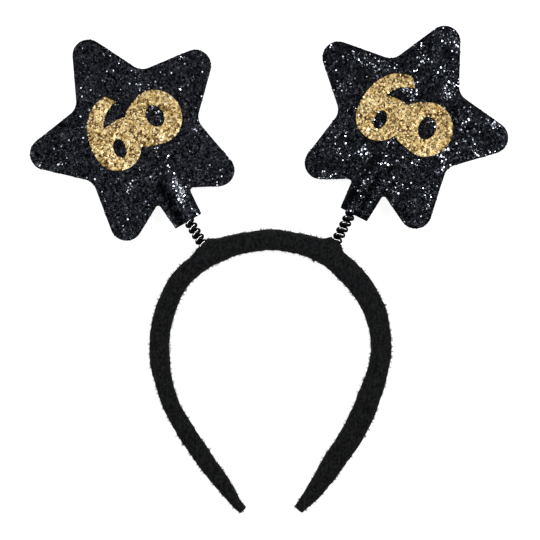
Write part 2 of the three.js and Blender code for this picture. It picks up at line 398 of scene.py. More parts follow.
@dataclass(frozen=True)
class FlakeField(Group):
    """Flakes bedded side by side: a random tone and tilt in each cell, and the glue in the gaps.

    Two Voronoi patterns, one of half the size, share the surface: a coarse cell whose own random number is
    low breaks up into the fine cells. The normal is the surface's normal plus the cell's random vector and
    a slowly changing one, so that sparkles gather in clusters, and the tone drifts slowly too.

    Attributes:
        finer, broken: How many fine cells go along a coarse one, and the share of coarse cells that break up.
        gap_width: Width of the glue round a cell, as a share of the cell.
        slower: Scale of the slow drift, as a share of the cells' scale.
    """

    name: str = "flake field"
    inputs: tuple[str, ...] = ("cells", "tilt", "mottle")
    outputs: tuple[tuple[str, str], ...] = (("tone", "Float"), ("gap", "Float"), ("normal", "Vector"))
    finer: float = 1.9
    broken: float = 0.45
    gap_width: float = 0.07
    slower: float = 0.16

    def build(self) -> bpy.types.NodeTree:
        """Fills the group as the class says.

        Returns:
            The group's tree.
        """
        nodes, given, out = self.start()
        place = nodes.add("TexCoord").outputs["Object"]
        cells = {"Vector": place, "Scale": given.outputs["cells"]}
        coarse = nodes.add("TexVoronoi", cells)
        finer = nodes.math("MULTIPLY", given.outputs["cells"], self.finer)
        fine = nodes.add("TexVoronoi", {"Vector": place, "Scale": finer})
        chance = nodes.add("SeparateColor", {"Color": coarse.outputs["Color"]}).outputs["Blue"]
        broken = nodes.math("LESS_THAN", chance, self.broken)
        random = nodes.mix(broken, coarse.outputs["Color"], fine.outputs["Color"])
        edge = nodes.add("TexVoronoi", cells, feature="DISTANCE_TO_EDGE").outputs["Distance"]
        gap = nodes.add("MapRange", {"Value": edge, "From Max": self.gap_width, "To Min": 1, "To Max": 0})
        slower = nodes.math("MULTIPLY", given.outputs["cells"], self.slower)
        drift = nodes.add("TexNoise", {"Vector": place, "Scale": slower, "Detail": 1.0}).outputs["Color"]
        swing = nodes.vector("SUBTRACT", nodes.vector("ADD", random, drift), (1.0,) * 3)
        lean = nodes.add("VectorMath", {0: swing}, operation="SCALE")
        nodes.tree.links.new(given.outputs["tilt"], lean.inputs["Scale"])
        leaning = nodes.vector("ADD", nodes.add("NewGeometry").outputs["Normal"], lean.outputs[0])
        own = nodes.add("SeparateColor", {"Color": random}).outputs["Green"]
        patch = nodes.math("SUBTRACT", nodes.add("SeparateColor", {"Color": drift}).outputs["Blue"], 0.5)
        tone = nodes.math("MULTIPLY_ADD", patch, given.outputs["mottle"], own)
        nodes.tree.links.new(tone, out.inputs["tone"])
        nodes.tree.links.new(gap.outputs[0], out.inputs["gap"])
        nodes.tree.links.new(nodes.vector("NORMALIZE", leaning), out.inputs["normal"])
        return nodes.tree


@dataclass(frozen=True)
class FeltField(Group):
    """Matted fibres: soft blotches of shade, and the height of two crossing lays of fine hairs.

    Attributes:
        turns: How far each lay is turned, in radians.
        stretch: Scale of a lay along its own axes; a hair is long where it is small.
    """

    name: str = "felt field"
    inputs: tuple[str, ...] = ("blotches", "hairs")
    outputs: tuple[tuple[str, str], ...] = (("shade", "Float"), ("height", "Float"))
    turns: Pair = (0.6, -0.9)
    stretch: tuple[float, float, float] = (1.0, 0.18, 0.6)

    def build(self) -> bpy.types.NodeTree:
        """Fills the group as the class says.

        Returns:
            The group's tree.
        """
        nodes, given, out = self.start()
        place = nodes.add("TexCoord").outputs["Object"]
        shade = nodes.add("TexNoise", {"Vector": place, "Scale": given.outputs["blotches"], "Detail": 6.0})
        lays = []
        for turn in self.turns:
            lay = {"Vector": place, "Rotation": (turn, 0.4 * turn, 1.3 * turn), "Scale": self.stretch}
            turned = nodes.add("Mapping", lay).outputs[0]
            hairs = {"Vector": turned, "Scale": given.outputs["hairs"], "Detail": 4.0, "Distortion": 0.6}
            lays.append(nodes.add("TexNoise", hairs).outputs[0])
        nodes.tree.links.new(shade.outputs[0], out.inputs["shade"])
        nodes.tree.links.new(nodes.math("MAXIMUM", *lays), out.inputs["height"])
        return nodes.tree


@dataclass(frozen=True)
class Finish:
    """A finish: a named material with one Principled shader."""

    name: str

    def start(self, **sockets: object) -> tuple[Nodes, bpy.types.Material, bpy.types.Node]:
        """Makes the material with its constant numbers on the shader's own sockets.

        Args:
            **sockets: The shader's sockets, with _ for each space.

        Returns:
            The material's nodes, the material and its shader.
        """
        material = bpy.data.materials.new(self.name)
        material.use_nodes = True
        shader = material.node_tree.nodes["Principled BSDF"]
        for name, value in sockets.items():
            shader.inputs[name.replace("_", " ")].default_value = value
        return Nodes(material.node_tree), material, shader

    def feed(self, nodes: Nodes, shader: bpy.types.Node, sources: dict[str, bpy.types.NodeSocket]) -> None:
        """Links sources to the shader's sockets by name."""
        for name, source in sources.items():
            nodes.tree.links.new(source, shader.inputs[name])


@dataclass(frozen=True)
class GlitterFinish(Finish):
    """Glitter in one colour, as a bedded sheet and as loose flakes that lie on it.

    Attributes:
        stops: Places and colours from the dullest to the brightest bedded flake.
        sparks: The same for the loose flakes.
        glue: Colour of the ground between the flakes.
        metallic: How metallic the flakes are.
        across: Size of a bedded flake in millimetres.
        gloss, spark_gloss: Roughness of the brightest and the dullest flake, bedded and loose.
        mottle: How far the tone drifts from patch to patch.
        glue_rough: Roughness of the ground between the flakes.
    """

    stops: tuple[tuple[float, Colour], ...]
    sparks: tuple[tuple[float, Colour], ...]
    glue: Colour
    metallic: float
    across: float
    gloss: tuple[float, float]
    spark_gloss: tuple[float, float]
    mottle: float
    glue_rough: float = 0.7

    def sheet(self, tilt: float) -> bpy.types.Material:
        """Material of the sheet that the flakes are bedded in.

        Args:
            tilt: How far the bedded flakes lean.

        Returns:
            The material.
        """
        nodes, material, shader = self.start(Metallic=self.metallic)
        flakes = FlakeField().place(nodes, cells=1.0 / (self.across * MM), tilt=tilt, mottle=self.mottle)
        tone, gap = flakes.outputs["tone"], flakes.outputs["gap"]
        colour = nodes.mix(gap, nodes.ramp(tone, list(self.stops)), (*self.glue, 1.0))
        flake_rough = nodes.between(tone, *self.gloss[::-1])
        rough = nodes.math("MAXIMUM", flake_rough, nodes.math("MULTIPLY", gap, self.glue_rough))
        sources = {"Base Color": colour, "Roughness": rough, "Normal": flakes.outputs["normal"]}
        self.feed(nodes, shader, sources)
        return material

    def loose(self) -> bpy.types.Material:
        """Material of the loose flakes, whose attribute holds their tone.

        Returns:
            The material.
        """
        nodes, material, shader = self.start(Metallic=self.metallic)
        material.name = f"{self.name} flakes"
        tone = nodes.add("Attribute", attribute_name="tone").outputs["Fac"]
        rough = nodes.between(tone, *self.spark_gloss[::-1])
        self.feed(nodes, shader, {"Base Color": nodes.ramp(tone, list(self.sparks)), "Roughness": rough})
        return material


@dataclass(frozen=True)
class FeltFinish(Finish):
    """Black felt: dull, blotched, with a soft sheen of fibre ends.

    Attributes:
        dark: Colour in the hollows, where the felt is darkened as painted shade.
        light: Colour of the raised fibres, where there is no painted shade.
        relief: Height of the fibres in millimetres.
        shades: Where the ramp of shade times height starts and ends.
        blotches, hairs: Scale of the blotches and of the hairs, per metre.
    """

    dark: Colour
    light: Colour
    relief: float
    shades: Pair = (0.19, 0.36)
    blotches: float = 700.0
    hairs: float = 1100.0

    def cloth(self) -> bpy.types.Material:
        """Material of the felt itself.

        Returns:
            The material.
        """
        nodes, material, shader = self.start(
            Specular_IOR_Level=0.1, Sheen_Weight=0.03, Sheen_Roughness=0.5, Sheen_Tint=(0.6, 0.62, 0.66, 1.0)
        )
        felt = FeltField().place(nodes, blotches=self.blotches, hairs=self.hairs)
        # The colour follows the random blotches times the fibres' height, so it darkens in the hollows
        # between fibres: random tone and painted shade together.
        shade = nodes.math("MULTIPLY", felt.outputs["shade"], felt.outputs["height"])
        bump = {"Height": felt.outputs["height"], "Distance": self.relief * MM, "Strength": 0.9}
        sources = {
            "Base Color": nodes.ramp(shade, list(zip(self.shades, (self.dark, self.light)))),
            "Roughness": nodes.between(felt.outputs["shade"], 0.85, 1.0),
            "Normal": nodes.add("Bump", bump).outputs[0],
        }
        self.feed(nodes, shader, sources)
        return material

    def fuzz(self) -> bpy.types.Material:
        """Material of the loose fibres.

        Returns:
            The material.
        """
        nodes, material, shader = self.start(Specular_IOR_Level=0.2, Roughness=0.9)
        material.name = f"{self.name} fuzz"
        tone = nodes.add("Attribute", attribute_name="tone").outputs["Fac"]
        self.feed(nodes, shader, {"Base Color": nodes.ramp(tone, [(0.0, self.dark), (1.0, self.light)])})
        return material


@dataclass(frozen=True)
class WireFinish(Finish):
    """Black lacquered spring wire, with the fine drawn grain that shows through the lacquer."""

    colour: Colour

    def material(self) -> bpy.types.Material:
        """The wire's material.

        Returns:
            The material.
        """
        nodes, material, shader = self.start(Specular_IOR_Level=0.06)
        place = nodes.add("TexCoord").outputs["Object"]
        grain = nodes.add("TexNoise", {"Vector": place, "Scale": 1900.0, "Detail": 5.0}).outputs[0]
        dull = tuple(1.8 * part for part in self.colour)
        sources = {
            "Base Color": nodes.ramp(grain, [(0.4, self.colour), (0.7, dull)]),
            "Roughness": nodes.between(grain, 0.06, 0.12),
            "Normal": nodes.add("Bump", {"Height": grain, "Distance": 0.01 * MM, "Strength": 0.4}).outputs[0],
        }
        self.feed(nodes, shader, sources)
        return material


@dataclass(frozen=True)
class FloorFinish(Finish):
    """Pale translucent table, lit from below so that shadows stay faint.

    Attributes:
        colour: Colour of the table's top.
        glow: Strength of the light from below.
    """

    colour: Colour = (0.3, 0.3, 0.3)
    glow: float = 0.92

    def material(self) -> bpy.types.Material:
        """The floor's material, with a trace of tooth in its roughness.

        Returns:
            The material.
        """
        nodes, material, shader = self.start(
            Base_Color=(*self.colour, 1.0),
            Specular_IOR_Level=0.1,
            Emission_Color=(1.0, 1.0, 1.0, 1.0),
            Emission_Strength=self.glow,
        )
        place = nodes.add("TexCoord").outputs["Object"]
        tooth = nodes.add("TexNoise", {"Vector": place, "Scale": 900.0, "Detail": 3.0}).outputs[0]
        self.feed(nodes, shader, {"Roughness": nodes.between(tooth, 0.85, 1.0)})
        return material


BLACK_GLITTER = GlitterFinish(
    name="black glitter",
    stops=(
        (0.0, (0.0007, 0.0008, 0.0010)),
        (0.3, (0.0032, 0.0035, 0.0044)),
        (0.55, (0.0084, 0.0092, 0.0114)),
        (0.85, (0.0160, 0.0175, 0.0215)),
        (1.0, (0.0240, 0.0262, 0.0315)),
    ),
    sparks=(
        (0.0, (0.006, 0.0066, 0.0080)),
        (0.5, (0.020, 0.0216, 0.0255)),
        (0.8, (0.080, 0.0856, 0.0990)),
        (1.0, (0.34, 0.358, 0.400)),
    ),
    glue=(0.0010, 0.0011, 0.0014),
    metallic=1.0,
    across=1.1,
    gloss=(0.30, 0.55),
    spark_gloss=(0.08, 0.22),
    mottle=0.5,
)
GOLD_GLITTER = GlitterFinish(
    name="gold glitter",
    stops=(
        (0.0, (0.055, 0.026, 0.003)),
        (0.28, (0.16, 0.083, 0.011)),
        (0.48, (0.54, 0.352, 0.101)),
        (0.74, (0.80, 0.597, 0.255)),
        (1.0, (0.93, 0.80, 0.50)),
    ),
    sparks=(
        (0.0, (0.10, 0.048, 0.005)),
        (0.45, (0.46, 0.29, 0.076)),
        (0.8, (0.80, 0.597, 0.255)),
        (1.0, (0.93, 0.80, 0.50)),
    ),
    glue=(0.10, 0.05, 0.006),
    metallic=0.3,
    across=1.3,
    gloss=(0.38, 0.6),
    spark_gloss=(0.35, 0.55),
    mottle=0.9,
)
BLACK_FELT = FeltFinish(
    name="black felt",
    dark=(0.0010, 0.0011, 0.0012),
    light=(0.0122, 0.0128, 0.0137),
    relief=0.7,
)
BLACK_WIRE = WireFinish(name="black lacquered wire", colour=(0.0005, 0.0005, 0.0006))
LIT_TABLE = FloorFinish(name="white lit table")


@dataclass(frozen=True)
class FlakeMix:
    """A sprinkling of loose hexagonal flakes on a glitter sheet.

    Attributes:
        count: How many flakes.
        across: Smallest and largest size between two corners.
        thick: Thickness of a flake.
        tilt: Spread of the flakes' normals round the sheet's normal.
        seed: Picks the flakes.
        drift: Length over which neighbouring flakes lean alike.
        own_lean, shared_lean: Shares of a flake's own lean and of its neighbours' in its tilt.
        raised: How far a leaning flake is raised, as a share of its radius times the sine of its lean.
    """

    count: int
    across: tuple[float, float]
    thick: float
    tilt: float
    seed: int
    drift: float = 7.0
    own_lean: float = 0.8
    shared_lean: float = 0.6
    raised: float = 0.7

    def sprinkle(self, ground: Surface, wanted: Wanted) -> tuple[Surface, np.ndarray]:
        """Lays the flakes.

        Corner k of a flake stands at its middle plus radius times (cos(k 60 deg) a + sin(k 60 deg) b), with
        a and b square to its leaning normal, half the thickness below and above. A leaning flake is raised
        until its low edge is bedded in the sheet.

        Args:
            ground: The sheet.
            wanted: Gives the weight of each triangle of the sheet.

        Returns:
            The flakes as one skin, and each corner's tone.
        """
        rng = np.random.default_rng(self.seed)
        places, normals = ground.scatter(self.count, rng, wanted)
        drift = np.stack([ripple(places, self.drift, self.seed + axis) for axis in range(3)], axis=-1)
        lean = self.own_lean * rng.normal(size=normals.shape) + self.shared_lean * drift
        leaning = unit(normals + self.tilt * lean)
        a = unit(np.cross(leaning, rng.normal(size=normals.shape)))
        b = np.cross(leaning, a)
        radius = 0.5 * rng.uniform(*self.across, (self.count, 1, 1))
        turn = (np.arange(6) * math.pi / 3.0)[None, :, None]
        ring = radius * (np.cos(turn) * a[:, None] + np.sin(turn) * b[:, None])
        sine = np.sqrt(np.clip(1.0 - (leaning * normals).sum(axis=1) ** 2, 0.0, 1.0))
        rise = self.raised * radius[:, 0] * sine[:, None] + 0.5 * self.thick
        middle = (places + rise * normals)[:, None]
        half = 0.5 * self.thick * leaning[:, None]
        corners = np.concatenate([middle + ring - half, middle + ring + half], axis=1)
        k = np.arange(6)
        on = (k + 1) % 6
        sides = np.stack([k, on, on + 6, k + 6], axis=-1)
        tone = np.repeat(rng.random(self.count), 12)
        return Surface.copies(corners, [np.stack([k[::-1], k + 6]), sides]), tone


@dataclass(frozen=True)
class SmoothCurve:
    """Centripetal Catmull-Rom curve through points: a cubic between each two, whose slopes there come from
    the neighbours, weighted by the square roots of the distances."""

    knots: np.ndarray

    def at(self, t: np.ndarray) -> np.ndarray:
        """Places at shares t of the way from the first knot to the last, counted in knots.

        Args:
            t: The shares, from 0 to 1.

        Returns:
            One place for each share.
        """
        before, after = 2 * self.knots[:1] - self.knots[1:2], 2 * self.knots[-1:] - self.knots[-2:-1]
        knots = np.concatenate([before, self.knots, after])
        along = np.clip(t, 0.0, 1.0) * (len(self.knots) - 1)
        k = np.minimum(along.astype(int), len(self.knots) - 2)
        w = (along - k)[:, None]
        p0, p1, p2, p3 = (knots[k + step] for step in range(4))
        spans = ((p0, p1), (p1, p2), (p2, p3))
        d0, d1, d2 = (np.sqrt(np.linalg.norm(q - p, axis=1))[:, None] for p, q in spans)
        start = d1 * ((p1 - p0) / d0 - (p2 - p0) / (d0 + d1) + (p2 - p1) / d1)
        stop = d1 * ((p2 - p1) / d1 - (p3 - p1) / (d1 + d2) + (p3 - p2) / d2)
        blend = 3 * w**2 - 2 * w**3
        return (1 - blend) * p1 + blend * p2 + (w**3 - 2 * w**2 + w) * start + (w**3 - w**2) * stop

    def even(self, count: int, samples: int = 4000) -> np.ndarray:
        """Values of t whose places are evenly spaced along the curve.

        Args:
            count: How many values.
            samples: Places at which the run of the curve is summed up.

        Returns:
            The values of t.
        """
        t = np.linspace(0.0, 1.0, samples)
        run = np.concatenate([[0.0], np.linalg.norm(np.diff(self.at(t), axis=0), axis=1).cumsum()])
        return np.interp(np.linspace(0.0, run[-1], count), run, t)


@dataclass
class Bopper:
    """One star on its spring, in the star's own frame: middle at the origin, stem along -Y, front up.

    Attributes:
        side: Which of the two.
        x, y, turn: The star's middle and its lean from upright, in degrees.
        stem_x, stem_end: The stem's shift from the star's middle line, and how far down it ends.
        spring_x, spring_turn: The spring's shift, and where its wire starts, as a share of a turn.
        tent_x, foot, lift: The felt tent's shift, how far down its top is, and its height.
        tent_top, spread: Radius of the tent's top, where the felt has its full lift, and of its skirt.
        number_x, number_y, number_turn, number_lean: Place and turn of the gold number, and the lean of
            the six's hole.
        flake_tilt: How far the star's bedded flakes lean.
        flakes, clumps: Loose flakes on the star's front, and the pick of where they gather.
        seed: Picks the star's flakes and its slight warp.
        tip, notch, tip_fillet, notch_fillet: How far the star's sharp tips and notches are from its middle,
            and the radii of their fillets.
        root_half, end_half, root_fillet, end_fillet: Half widths of the stem's root and end, and the radii of
            their fillets.
        sheet_thick, seam, edge: Thickness of a sheet, half the glued seam, and rounding of the cut edge.
        ridge_height, ridge_half: Height and half width of the ridge over the spring's tail.
        ridge_full, ridge_gone: Where along Y the ridge has its full height, and where it has faded out.
        warp, warp_length: Height of the sheets' slight warp, and the length of its waves.
        coil, wire, pitch: Radius of the wire's middle line, the wire's diameter and the rise of one turn.
        foot_depth, tail_end: How deep the spring's foot stands in the felt, and where along Y its tail ends.
        overlap: How far each half of the spring reaches past the middle.
        loose_lean: Lean of the loose flakes, as a share of the bedded ones'.
        flake_sizes, flake_thick: Smallest and largest loose flake, and their thickness.
        gather, gather_length: How strongly the loose flakes gather, and the length of the clumps' waves.
        number_thick, number_round: Thickness of the number and rounding of its upper edges.
        number_flakes, number_sizes: Count, and smallest and largest size, of the number's loose flakes.
        number_flake_thick, number_flake_tilt: Their thickness, and how far they lean.
    """

    side: Side
    x: float
    y: float
    turn: float
    stem_x: float
    stem_end: float
    spring_x: float
    spring_turn: float
    tent_x: float
    foot: float
    lift: float
    tent_top: float
    spread: float
    number_x: float
    number_y: float
    number_turn: float
    number_lean: float
    flake_tilt: float
    flakes: int
    clumps: int
    seed: int

    tip: float = 70.3
    notch: float = 34.8
    tip_fillet: float = 8.8
    notch_fillet: float = 8.5
    root_half: float = 9.5
    end_half: float = 8.2
    root_fillet: float = 1.6
    end_fillet: float = 0.4
    sheet_thick: float = 1.6
    seam: float = 0.04
    edge: float = 0.5
    ridge_height: float = 3.4
    ridge_half: float = 7.4
    ridge_full: float = -35.0
    ridge_gone: float = -19.0
    warp: float = 0.1
    warp_length: float = 38.0

    coil: float = 1.8
    wire: float = 2.8
    pitch: float = 3.55
    foot_depth: float = 1.7
    tail_end: float = -35.5
    overlap: float = 0.05

    loose_lean: float = 0.24
    flake_sizes: Pair = (0.5, 1.05)
    flake_thick: float = 0.07
    gather: float = 2.0
    gather_length: float = 12.0

    number_thick: float = 1.35
    number_round: float = 0.25
    number_flakes: int = 700
    number_sizes: Pair = (0.7, 1.2)
    number_flake_thick: float = 0.06
    number_flake_tilt: float = 0.3

    def place(self, local: np.ndarray) -> np.ndarray:
        """Places of the star's own frame in the object's frame: turned about Z, then moved."""
        return local @ self._turned() + (self.x, self.y, MID_HEIGHT)

    def bring(self, places: np.ndarray) -> np.ndarray:
        """Places of the object's frame in the star's own frame."""
        return (places - (self.x, self.y, MID_HEIGHT)) @ self._turned().T

    def _turned(self) -> np.ndarray:
        """Matrix that turns row vectors by the star's lean."""
        c, s = math.cos(math.radians(self.turn)), math.sin(math.radians(self.turn))
        return np.array([[c, s, 0.0], [-s, c, 0.0], [0.0, 0.0, 1.0]])

    def point(self, y: float) -> tuple[float, ...]:
        """A place on the spring's axis, in metres in the object's frame."""
        return tuple(float(part) for part in MM * self.place(np.array([self.spring_x, y, 0.0])))

    def corners(self) -> np.ndarray:
        """Sharp corners of the star's outline with their fillets, anticlockwise from its lower right tip.

        Tips stand every 72 degrees round the middle, with notches between them. In the lowest notch the
        stem's four corners lie on the lines of the two lower legs and on the stem's end.

        Returns:
            Rows of x, y and fillet radius.
        """
        step = math.radians(36.0)
        angles = -math.pi / 2.0 + step * np.arange(1, 10)
        tips = np.arange(9) % 2 == 0
        radius = np.where(tips, self.tip, self.notch)
        fillet = np.where(tips, self.tip_fillet, self.notch_fillet)
        star = np.stack([radius * np.cos(angles), radius * np.sin(angles), fillet], axis=1)
        slope = (star[0, 1] + self.notch) / star[0, 0]
        root = self.stem_x + self.root_half * np.array([-1.0, 1.0])
        root_y = -self.notch + slope * np.abs(root)
        end = self.stem_x + self.end_half * np.array([-1.0, 1.0])
        stem = [
            (root[0], root_y[0], self.root_fillet),
            (end[0], -self.stem_end, self.end_fillet),
            (end[1], -self.stem_end, self.end_fillet),
            (root[1], root_y[1], self.root_fillet),
        ]
        return np.concatenate([star, stem])

    def outline(self, arc_steps: int = 12, leg_steps: int = 20) -> np.ndarray:
        """The star's outline: an arc in each corner, and a straight leg on to the next.

        An arc's middle lies on the corner's bisector, at the fillet radius over the sine of half the
        corner's angle, and the arc turns through what the corner's angle lacks of 180 degrees.

        Args:
            arc_steps: Points on each arc.
            leg_steps: Points on each leg between two arcs.

        Returns:
            Points by x and y, anticlockwise.
        """
        table = self.corners()
        at, fillet = table[:, :2], table[:, 2:]
        back, ahead = unit(np.roll(at, 1, axis=0) - at), unit(np.roll(at, -1, axis=0) - at)
        half = np.arccos((back * ahead).sum(axis=1, keepdims=True)) / 2.0
        middle = at + unit(back + ahead) * fillet / np.sin(half)
        start = at + back * fillet / np.tan(half) - middle
        hollow = (back[:, :1] * ahead[:, 1:] - back[:, 1:] * ahead[:, :1]) > 0.0
        sweep = np.where(hollow, -1.0, 1.0) * (math.pi - 2.0 * half)
        angle = np.arctan2(start[:, 1:], start[:, :1]) + sweep * np.linspace(0.0, 1.0, arc_steps)
        arcs = middle[:, None] + fillet[:, None] * np.stack([np.cos(angle), np.sin(angle)], axis=-1)
        share = np.linspace(0.0, 1.0, leg_steps + 2)[1:-1, None]
        legs = arcs[:, -1:] * (1.0 - share) + np.roll(arcs, -1, axis=0)[:, :1] * share
        return np.concatenate([arcs, legs], axis=1).reshape(-1, 2)

    def rise(self, x: np.ndarray, y: np.ndarray) -> np.ndarray:
        """How far a sheet stands off the seam: the ridge over the spring's tail, and a slight warp.

        The ridge is a raised cosine across the stem, which fades out towards the star's middle.

        Args:
            x: Places across the star.
            y: Places along the star.

        Returns:
            The height at each place.
        """
        share = np.clip((x - self.spring_x) / self.ridge_half, -1.0, 1.0)
        bell = np.cos(share * math.pi / 2.0) ** 2
        fade = 1.0 - smoothstep(y, self.ridge_full, self.ridge_gone)
        flat = np.stack([x, y, np.zeros_like(x)], axis=-1)
        return self.ridge_height * bell * fade + self.warp * (1.0 + ripple(flat, self.warp_length, self.seed))

    def sheet(self, face: Face, top_rows: int = 44, under_rows: int = 14, edge_rows: int = 5) -> Surface:
        """One glitter sheet: the outline drawn in towards the middle, ring by ring, under and over.

        The rings go out along the underside, round the rounded cut edge and back along the top. A ring's
        point lies on the line from the middle to the outline's point.

        Args:
            face: Front or back sheet.
            top_rows: Rings on the outer side.
            under_rows: Rings on the side that is glued.
            edge_rows: Rings on each half of the cut edge.

        Returns:
            The closed sheet in the object's frame.
        """
        outline = self.outline()
        reach = np.linalg.norm(outline, axis=1)[None]
        bend = np.linspace(0.0, math.pi / 2.0, edge_rows)[:, None]
        flat = reach - self.edge
        under = flat * np.linspace(0.03, 1.0, under_rows)[:-1, None]
        top = flat * np.linspace(1.0, 0.03, top_rows)[1:, None]
        out, back = flat + self.edge * np.sin(bend), flat + self.edge * np.cos(bend)
        radius = np.concatenate([under, out, back, top])
        low = self.edge * (1.0 - np.cos(bend))
        high = self.sheet_thick - self.edge * (1.0 - np.sin(bend))
        level = np.full((top_rows - 1, 1), self.sheet_thick)
        lift = np.concatenate([np.zeros((under_rows - 1, 1)), low, high, level])
        x, y = (radius * outline[:, axis] / reach for axis in (0, 1))
        z = self.seam + self.rise(x, y) + lift
        rings = np.stack([x, y, face.value * z], axis=-1)
        return Surface.tube(self.place(rings[:: face.value]))

    def spring(self, low: float, high: float, steps_per_turn: int = 28, sides: int = 12) -> Surface:
        """A stretch of the spring: a round wire carried along a helix.

        The helix stands at (r sin a, y, r cos a), where a grows by one turn for each pitch of y from the
        foot's own turn. The wire's ring is spanned by the outward way and by the way square to it and to
        the wire.

        Args:
            low: Where the stretch starts, along the star's Y.
            high: Where it ends.
            steps_per_turn: Rings in one turn.
            sides: Corners of the wire's ring.

        Returns:
            The closed stretch of wire in the object's frame.
        """
        rows = int(steps_per_turn * (high - low) / self.pitch) + 1
        y = np.linspace(low, high, rows)
        a = 2.0 * math.pi * ((y + self.foot + self.foot_depth) / self.pitch - self.spring_turn)
        out = np.stack([np.sin(a), np.zeros(rows), np.cos(a)], axis=-1)
        wind = self.pitch / (2.0 * math.pi)
        along = unit(np.stack([self.coil * np.cos(a), np.full(rows, wind), -self.coil * np.sin(a)], axis=-1))
        middle = self.coil * out + np.stack([np.full(rows, self.spring_x), y, np.zeros(rows)], axis=-1)
        turn = (2.0 * math.pi * np.arange(sides) / sides)[None, :, None]
        ring = np.cos(turn) * out[:, None] + np.sin(turn) * np.cross(along, out)[:, None]
        return Surface.tube(self.place(middle[:, None] + 0.5 * self.wire * ring))

    def _strip(
        self, first: np.ndarray, second: np.ndarray, drop: float = 0.0, edge_steps: int = 4
    ) -> np.ndarray:
        """Rings of a flat strip between two edges, with rounded upper edges.

        Each ring goes from the first edge's foot up its side, over the flat top and down the second edge.

        Args:
            first: Points of one edge in the number's frame, by x and y.
            second: Points of the other edge, as many.
            drop: How far the strip's top stays below the number's top, so no two tops share a plane.
            edge_steps: Points on each rounded edge.

        Returns:
            The strip's rings in the object's frame.
        """
        bend = np.linspace(0.0, math.pi / 2.0, edge_steps)
        inset = self.number_round * (1.0 - np.cos(bend))
        height = self.number_thick - drop - self.number_round * (1.0 - np.sin(bend))
        inset, height = np.concatenate([[0.0], inset]), np.concatenate([[0.0], height])
        across = second - first
        width = np.linalg.norm(across, axis=1)[:, None]
        across = across / np.maximum(width, 1e-9)
        inset = np.minimum(inset[None], 0.45 * width)
        left = first[:, None] + inset[..., None] * across[:, None]
        right = second[:, None] - inset[:, ::-1, None] * across[:, None]
        flat = np.concatenate([left, right], axis=1)
        z = np.broadcast_to(np.concatenate([height, height[::-1]]), flat.shape[:2])
        c, s = math.cos(math.radians(self.number_turn)), math.sin(math.radians(self.number_turn))
        spun = flat @ np.array([[c, s], [-s, c]]) + (self.number_x, self.number_y)
        ground = self.seam + self.sheet_thick
        return self.place(np.concatenate([spun, (ground + z)[..., None]], axis=-1))

    def number(self, steps: int = 96) -> Surface:
        """The gold number: two rings between ellipses, the six's arm between two arcs, and three webs.

        A ring's strip runs between a hole's ellipse and its outer ellipse. The arm's strip runs between its
        outer and inner arc, and ends inside the six's ring. A web fills a notch where the digits meet, from
        a curve bent towards one point to the digits' crossing.

        Args:
            steps: Points round each ring.

        Returns:
            The strips as one skin in the object's frame.
        """
        def ellipse(middle: Pair, radii: Pair, degrees: np.ndarray, lean: float = 0.0) -> np.ndarray:
            """Points of a leaning ellipse at these angles.

            Args:
                middle: The ellipse's middle.
                radii: Its radii.
                degrees: The angles.
                lean: How far it leans, in degrees.

            Returns:
                One point for each angle.
            """
            angle, turn = np.radians(degrees), math.radians(lean)
            spun = np.array([[math.cos(turn), math.sin(turn)], [-math.sin(turn), math.cos(turn)]])
            return (np.stack([np.cos(angle), np.sin(angle)], axis=-1) * radii) @ spun + middle

        def web(start: Pair, bend: Pair, stop: Pair, drop: float) -> np.ndarray:
            """Rings of a web under a quadratic curve, a little lower than the digits.

            Args:
                start: Where the curve starts.
                bend: What it is bent towards.
                stop: Where it ends.
                drop: How far the web's top stays below the number's top.

            Returns:
                The web's rings.
            """
            t = np.linspace(0.0, 1.0, 14)[:, None]
            curve = (1 - t) ** 2 * np.array(start) + 2 * t * (1 - t) * np.array(bend) + t**2 * np.array(stop)
            return self._strip(curve, np.broadcast_to((2.0, 1.0), curve.shape), drop)

        round_ = np.linspace(0.0, 360.0, steps, endpoint=False)
        nought_hole = ellipse((14.7, 2.1), (4.8, 6.3), round_)
        nought = self._strip(ellipse((14.8, 1.4), (14.2, 15.1), round_), nought_hole)
        bowl_hole = ellipse((-11.0, -3.5), (3.5, 5.4), round_, self.number_lean)
        bowl = self._strip(ellipse((-11.8, -2.4), (13.0, 12.9), round_), bowl_hole, drop=0.03)
        share = np.linspace(0.0, 1.0, steps // 2)
        outer = ellipse((-5.5, 0.0), (19.3, 25.1), 84.0 + 102.0 * share)
        inner = ellipse((0.9, 0.0), (16.7, 19.6), 92.0 + 76.0 * share)
        webs = [
            web((-11.0, 10.4), (-4.0, 11.2), (0.2, 9.8), drop=0.09),
            web((0.2, 9.8), (3.2, 13.2), (8.0, 14.6), drop=0.10),
            web((8.0, -12.0), (2.0, -11.0), (-0.6, -8.2), drop=0.11),
        ]
        bands = [self._strip(outer, inner, drop=0.06), *webs]
        strips = [Surface.wheel(nought), Surface.wheel(bowl), *(Surface.tube(rings) for rings in bands)]
        return Surface.joined(strips)

    def build(self, frame: dict) -> tuple[list[bpy.types.Object], list[bpy.types.Object]]:
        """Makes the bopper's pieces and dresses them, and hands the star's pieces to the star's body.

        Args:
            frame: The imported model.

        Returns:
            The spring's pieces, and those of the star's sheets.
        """
        side = self.side.value
        wires = self._hang_spring(side)
        glitter = [piece for face in Face for piece in self._lay_sheet(side, face)]
        self._glue_number(side, frame)
        return wires, glitter

